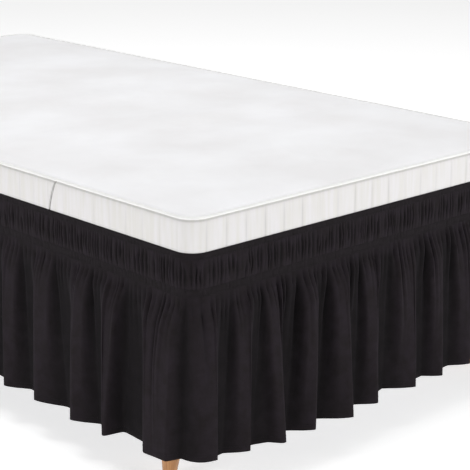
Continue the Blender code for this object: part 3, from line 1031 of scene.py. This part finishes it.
headingCloth = growStrip("shirred_heading", heading, headingTop + heading["tuck"],
                         headingFoot - heading["tuck"], skirtCloth)
topCasing = growStrip("top_casing", topBand, skirtTop, topBandFoot, bandCloth)
lowerCasing = growStrip("lower_casing", lowerBand, lowerBandTop, lowerBandFoot, bandCloth)
print("heading and bands drawn up")

stitchTree = stitchRowTree()
stitchValues = {
    "Spacing": stitching["spacing"],
    "Stitch length": stitching["length"],
    "Thread thickness": stitching["thread"],
    "Material": thread,
}
edge = stitching["fromEdge"]
# each row's reach stands just proud of its band's cloth there
casingRows = (
    (0.0021, skirtTop - edge), (0.0027, topBandFoot + edge),
    (0.0028, lowerBandTop - edge), (0.0031, lowerBandFoot + edge),
)
casingStitches = growPiece(
    "casing_stitches", railLine("casing_stitches", casingRows, stitching["rowStep"]),
    stitchTree, stitchValues)
hemStitches = growPiece("hem_stitches", hemMesh, stitchTree, stitchValues)

piping = {
    "reach": 0.0008,
    "radius": 0.0029,
    "sides": 12,
    "step": 0.006,            # metres between the points of its line
    "waver": 0.0005,          # how far it wavers up and down
    "waverScale": 9.0,
}
pipingLine = railLine("piping_cord", ((piping["reach"], (pipingFoot + pipingTop) / 2),),
                      piping["step"])
for vertex in pipingLine.vertices:
    vertex.co.z += noise.noise(vertex.co * piping["waverScale"]) * piping["waver"]
pipingCord = growPiece("piping_cord", pipingLine, cordTree(), {
    "Radius": piping["radius"], "Sides": piping["sides"], "Material": pipingTape})

mattress = {
    "cell": 0.048,                          # metres from one quilting line to the next
    "cellStations": (0.0, 0.05, 0.13, 0.30, 0.50, 0.70, 0.87, 0.95),
    "lineDepth": (0.0001, 0.0006),
    "lineDepths": 131,                      # how many depths come before they repeat
    "lineWidth": 0.0022,
    "linePuff": (0.35, 0.0065, 0.003),      # the swell beside a line: share, how far off, width
    "lineShade": {"foot": 0.24, "right": 0.12, "head": 0.24, "left": 0.09},
    "sideFoot": 0.4655,
    "sideHeight": 0.0735,
    "sideBulge": 0.0008,
    "seamAt": 0.373,                        # along the left side, from the near arc
    "seamFoot": 0.481,
    "seamHeight": 0.058,
    "seamBow": (0.0087, 0.0118, 0.0088),    # how far along its foot is, and how it bends back
    "seamDepth": 0.0022,
    "seamWidth": 0.0016,
    "seamLip": (0.0013, 0.0042),            # how high its raised lip is, and how far off
    "seamStations": (12, 0.0013),           # how many stand to each side of it, how far apart
    "seamClear": 0.0035,                    # how far others keep from those
    "pipingShade": (0.45, 0.5400, 0.0022),  # how dark under the piping, where and how wide
    "topEdge": 0.5498,                      # height where the top meets its rounded edge
    "topEase": 0.08,                        # how far in the top takes to reach its full height
    "topWaves": 0.0016,
    "topWaveScale": (6, 9),
    "seed": 5,
    # how far out and how high each level of its side and edge is
    "levels": (
        (-0.0030, 0.4655), (0.0, 0.4685), (0.0, 0.4740), (0.0, 0.4800), (0.0, 0.4870),
        (0.0, 0.4950), (0.0, 0.5040), (0.0, 0.5130), (0.0, 0.5220), (0.0, 0.5300),
        (-0.0002, 0.5355), (-0.0012, 0.5390), (-0.0030, 0.5420), (-0.0060, 0.5466),
        (-0.0120, 0.5480), (-0.0180, 0.5486), (-0.0250, 0.5490), (-0.0310, 0.5494),
        (-0.0370, 0.5498),
    ),
    "sideLevels": 12,                       # how many of them stand below the piping
    # soft ridges across the top: from x, y to x, y, width and height
    "ridges": (
        (-0.407, -0.627, 0.469, -0.525, 0.060, 0.0034),
        (-0.361, -0.283, 0.416, -0.346, 0.060, 0.0030),
        (-0.400, 0.080, 0.441, -0.071, 0.065, 0.0030),
        (-0.380, 0.300, 0.460, 0.140, 0.060, 0.0028),
        (-0.420, 0.520, 0.400, 0.450, 0.070, 0.0026),
        (-0.380, 0.740, 0.430, 0.700, 0.060, 0.0028),
        (-0.150, -0.721, -0.218, -0.855, 0.020, 0.0020),
        (-0.018, -0.701, -0.057, -0.840, 0.022, 0.0022),
        (0.091, -0.739, 0.051, -0.848, 0.018, 0.0018),
        (0.215, -0.725, 0.123, -0.891, 0.022, 0.0022),
        (0.330, -0.740, 0.270, -0.880, 0.020, 0.0016),
    ),
}


def bell(away, width):
    # 1 in the middle, falling off smoothly to either side
    return math.exp(-(away / width) ** 2)


def sideStations(length, seam=()):
    # places along one side of the mattress, crowded round each quilting line and the seam
    cells = round(length / mattress["cell"])
    places = [(cell + phase) * length / cells
              for cell in range(cells) for phase in mattress["cellStations"]]
    places = [place for place in places
              if all(abs(place - other) > mattress["seamClear"] for other in seam)]
    places += [length, *seam]
    return sorted(places)


def topHeight(x, y):
    # the mattress's top: lower towards its edges, with soft ridges across it
    fromEdge = min(bed["width"] / 2 - abs(x), bed["length"] / 2 - abs(y))
    rise = max(0.0, min(1.0, (fromEdge - bed["cornerRadius"]) / mattress["topEase"]))
    edgeHeight = mattress["topEdge"]
    height = edgeHeight + (mattressTop - edgeHeight) * rise * rise * (3 - 2 * rise)
    for x1, y1, x2, y2, width, high in mattress["ridges"]:
        start, end = Vector((x1, y1)), Vector((x2, y2))
        share = (Vector((x, y)) - start).dot(end - start) / (end - start).length_squared
        nearest = start.lerp(end, max(0.0, min(1.0, share)))
        height += rise * high * bell((Vector((x, y)) - nearest).length, width)
    scaleX, scaleY = mattress["topWaveScale"]
    wave = noise.noise(Vector((x * scaleX, y * scaleY, 0.4)))
    return height + rise * mattress["topWaves"] * wave


def quiltLine(distance, length, depths):
    # how far the nearest quilting line pulls the side in here, and how much painted shade it
    # takes
    cells = round(length / mattress["cell"])
    nearest = round(distance / length * cells)
    depth = depths[nearest % len(depths)]
    away = abs(distance - nearest * length / cells)
    pull = bell(away, mattress["lineWidth"])
    share, farOff, width = mattress["linePuff"]
    puff = share * bell(away - farOff, width)
    return depth * (pull - puff), pull * depth / mattress["lineDepth"][1]


def seamPull(distance, height):
    # the side's closing seam: a bowed groove with a raised lip on its far edge
    up = (height - mattress["seamFoot"]) / mattress["seamHeight"]
    ahead, slant, bend = mattress["seamBow"]
    bowed = mattress["seamAt"] + ahead - slant * up - bend * up * up
    groove = bell(distance - bowed, mattress["seamWidth"])
    lipHeight, farOff = mattress["seamLip"]
    lip = bell(distance - bowed - farOff, mattress["seamWidth"])
    return mattress["seamDepth"] * groove - lipHeight * lip, groove


def sidePoint(station, level, depths):
    # where the pad's side or edge stands at one station and level, and its painted shade there
    middle, outward, side, distance = station
    out, height = mattress["levels"][level]
    dark = 0.0
    if level < mattress["sideLevels"]:
        up = max(0.0, min(1.0, (height - mattress["sideFoot"]) / mattress["sideHeight"]))
        fade = math.sin(math.pi * up) ** 0.5 if 0 < up < 1 else 0.0
        out += mattress["sideBulge"] * fade
        if side != "arc":
            length = straightAcross if side in ("foot", "head") else straightAlong
            # each quilting line takes painted shade, more on some sides than on others
            pull, dark = quiltLine(distance, length, depths)
            out -= pull * fade
            dark *= mattress["lineShade"][side] * fade
        if side == "left":
            pull, groove = seamPull(distance, height)
            out -= pull
            # the seam's groove takes painted shade too
            dark = max(dark, groove)
        shade, at, width = mattress["pipingShade"]
        dark = max(dark, shade * bell(height - at, width))
    return middle + outward * (bed["cornerRadius"] + out) + Vector((0, 0, height)), dark


def padStations(xs, ys):
    # all round the pad: middle point, outward direction, side, and distance along that side
    halfX, halfY = straightAcross / 2, straightAlong / 2
    stations = [(Vector((x, -halfY, 0)), Vector((0, -1, 0)), "foot", x + halfX) for x in xs]
    corners = (
        ((halfX, -halfY), -90, [(Vector((halfX, y, 0)), Vector((1, 0, 0)), "right", y + halfY)
                                for y in ys]),
        ((halfX, halfY), 0, [(Vector((x, halfY, 0)), Vector((0, 1, 0)), "head", x + halfX)
                             for x in reversed(xs)]),
        ((-halfX, halfY), 90, [(Vector((-halfX, y, 0)), Vector((-1, 0, 0)), "left", y + halfY)
                               for y in reversed(ys)]),
        ((-halfX, -halfY), 180, []),
    )
    for (x, y), start, nextSide in corners:
        for k in range(1, bed["cornerPoints"]):
            turn = math.radians(start + 90 * k / bed["cornerPoints"])
            stations.append((Vector((x, y, 0)), Vector((math.cos(turn), math.sin(turn), 0)),
                             "arc", 0.0))
        stations += nextSide
    return stations


def mattressPad():
    dice = random.Random(mattress["seed"])
    depths = [dice.uniform(*mattress["lineDepth"]) for _ in range(mattress["lineDepths"])]
    count, step = mattress["seamStations"]
    seam = [mattress["seamAt"] + k * step for k in range(-count, count + 1)]
    xs = [place - straightAcross / 2 for place in sideStations(straightAcross)]
    ys = [place - straightAlong / 2 for place in sideStations(straightAlong, seam)]
    stations = padStations(xs, ys)

    work = bmesh.new()
    paintedShade = work.verts.layers.float.new("paintedShade")
    layout = work.loops.layers.uv.new("roundAndUp")
    rings = []
    for level in range(len(mattress["levels"])):
        ring = []
        for station in stations:
            point, dark = sidePoint(station, level, depths)
            ring.append(work.verts.new(point))
            ring[-1][paintedShade] = dark
        rings.append(ring)

    count = len(stations)
    around = [0.0]
    for i in range(count):
        step = rings[2][(i + 1) % count].co - rings[2][i].co
        around.append(around[-1] + step.length)
    for level in range(len(rings) - 1):
        for i in range(count):
            k = (i + 1) % count
            corners = (rings[level][i], rings[level][k], rings[level + 1][k], rings[level + 1][i])
            face = work.faces.new(corners)
            face.material_index = 1 if level < mattress["sideLevels"] else 0
            places = (around[i], around[i + 1], around[i + 1], around[i])
            for loop, place in zip(face.loops, places):
                loop[layout].uv = (place, loop.vert.co.z)
    underside = work.faces.new(list(reversed(rings[0])))
    underside.material_index = 1

    grid = [[work.verts.new((x, y, topHeight(x, y))) for y in ys] for x in xs]
    for left, right in zip(grid, grid[1:]):
        for j in range(len(ys) - 1):
            face = work.faces.new((left[j], right[j], right[j + 1], left[j + 1]))
            for loop in face.loops:
                loop[layout].uv = loop.vert.co.xy
    bmesh.ops.remove_doubles(work, verts=work.verts, dist=0.00002)
    return finishSolid("mattress_pad", work, (ticking, border))


mattressPiece = mattressPad()
print("mattress quilted")

base = {
    "edgeRadius": 0.004,
    "edgeTurns": (0.0, 0.4, 0.8, 1.2, math.pi / 2),     # levels round its lower edge
    "sideShares": (0.15, 0.3, 0.45, 0.6, 0.75, 0.9),    # and up its side
    "topEase": (0.0006, 0.0015),                        # in and down, at its upper edge
    "step": 0.02,
    "clothRipple": 0.0004,
    "rippleScale": 8,
}


def coveredBase():
    # the base: a box with softly rounded edges, tightly covered
    soft = base["edgeRadius"]
    levels = [(-soft * (1 - math.sin(turn)), baseFoot + soft * (1 - math.cos(turn)))
              for turn in base["edgeTurns"]]
    levels += [(0.0, baseFoot + (baseTop - baseFoot) * share) for share in base["sideShares"]]
    levels += [(0.0, baseTop - base["topEase"][1]), (-base["topEase"][0], baseTop)]
    count = round(loopLength / base["step"])
    scale = base["rippleScale"]
    work = bmesh.new()
    rings = []
    for reach, height in levels:
        ring = []
        for i in range(count):
            spot, outward = loopAt(i * loopLength / count)
            ripple = noise.noise(Vector((spot.x * scale, spot.y * scale, height * scale)))
            inward = min(0.0, reach - abs(ripple) * base["clothRipple"])
            ring.append(work.verts.new(spot + outward * inward + Vector((0, 0, height))))
        rings.append(ring)
    joinRings(work, rings)
    return finishSolid("covered_base", work, (baseCloth,), 50)


basePiece = coveredBase()

leg = {
    "sides": 48,
    "lean": 0.10,             # how far it leans in for each metre it rises
    "footAt": (0.452, 0.8325),
    # radius at heights from the floor
    "profile": (
        (0.0000, 0.0108), (0.0004, 0.0116), (0.0012, 0.0122), (0.0026, 0.0128),
        (0.0200, 0.0154), (0.0400, 0.0180), (0.0600, 0.0206), (0.0800, 0.0232),
        (0.1000, 0.0256), (0.1200, 0.0280), (0.1360, 0.0296), (0.1430, 0.0300),
        (0.1465, 0.0298), (0.1485, 0.0291), (0.1497, 0.0282),
    ),
}


def turnedLeg(name, sideX, sideY):
    # lathed about its own leaning middle line
    work = bmesh.new()
    turns = [2 * math.pi * i / leg["sides"] for i in range(leg["sides"])]
    rings = []
    for height, radius in leg["profile"]:
        middleX = sideX * (leg["footAt"][0] - leg["lean"] * height)
        middleY = sideY * leg["footAt"][1]
        rings.append([work.verts.new((middleX + radius * math.cos(turn),
                                      middleY + radius * math.sin(turn), height))
                      for turn in turns])
    joinRings(work, rings)
    return finishSolid(name, work, (beech,), 50)


legNodes = {
    "leg_foot_left": (-1, -1),
    "leg_foot_right": (1, -1),
    "leg_head_left": (-1, 1),
    "leg_head_right": (1, 1),
}
for node, (sideX, sideY) in legNodes.items():
    piece = turnedLeg("turned_" + node, sideX, sideY)
    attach(piece, "root")
    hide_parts(node)
print("base covered, legs turned")

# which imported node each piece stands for, and the finish it takes
standIns = (
    (ruffleCloth, "ruffle", "skirt_cloth"),
    (headingCloth, "heading", "skirt_cloth"),
    (topCasing, "top_band", "band_elastic"),
    (lowerCasing, "lower_band", "band_elastic"),
    (mattressPiece, "mattress", "mattress_cloth"),
    (pipingCord, "mattress_piping", "piping_cloth"),
    (basePiece, "bed_base", "base_cloth"),
)
for piece, node, slot in standIns:
    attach(piece, "root")
    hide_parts(node)
for piece in (casingStitches, hemStitches):
    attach(piece, "root")

studio = {
    "floorSize": 30.0,
    "worldStrength": 0.30,
    # name, where it stands, what it looks at, size, watts; one lamp lights each side that
    # shows, and one hangs over the bed
    "lamps": (
        ("left_softbox", (-4.7, -0.2, 1.6), (-0.5, -0.4, 0.25), 1.5, 62.0),
        ("right_softbox", (1.4, -4.85, 1.6), (0.0, -0.95, 0.25), 1.5, 80.0),
        ("overhead_softbox", (0.0, 0.3, 4.6), (0.0, 0.0, 0.5), 3.0, 120.0),
    ),
    "lens": 118.26,
    "cameraAt": (-2.2043, -2.9125, 1.2867),
    "cameraDown": 16.4495,    # degrees below level, and clockwise from straight ahead
    "cameraRight": 42.7696,
}

floorMesh = bpy.data.meshes.new("studio_floor")
half = studio["floorSize"] / 2
floorMesh.from_pydata([(-half, -half, 0), (half, -half, 0), (half, half, 0), (-half, half, 0)],
                      [], [(0, 1, 2, 3)])
floorMesh.materials.append(paper)
placeMesh("studio_floor", floorMesh)

world = bpy.data.worlds.new("soft_studio")
world.use_nodes = True
world.node_tree.nodes.clear()
sky = addNode(world.node_tree, "ShaderNodeBackground", {
    "Color": (1.0, 1.0, 1.0, 1.0), "Strength": studio["worldStrength"]})
addNode(world.node_tree, "ShaderNodeOutputWorld", {"Surface": sky})
scene.world = world

for name, place, target, size, power in studio["lamps"]:
    lamp = bpy.data.lights.new(name, "AREA")
    lamp.size = size
    lamp.energy = power
    stand = bpy.data.objects.new(name, lamp)
    stand.location = place
    stand.rotation_euler = (Vector(target) - Vector(place)).to_track_quat("-Z", "Y").to_euler()
    scene.collection.objects.link(stand)

camera = bpy.data.cameras.new("camera")
camera.lens = studio["lens"]
camera.sensor_width = 36.0
camera.sensor_fit = "HORIZONTAL"
camera.clip_end = 60.0
tripod = bpy.data.objects.new("camera", camera)
tripod.location = studio["cameraAt"]
tripod.rotation_euler = (math.radians(90 - studio["cameraDown"]), 0.0,
                         -math.radians(studio["cameraRight"]))
scene.collection.objects.link(tripod)
scene.camera = tripod
scene.view_settings.view_transform = "Standard"
print("studio lit")
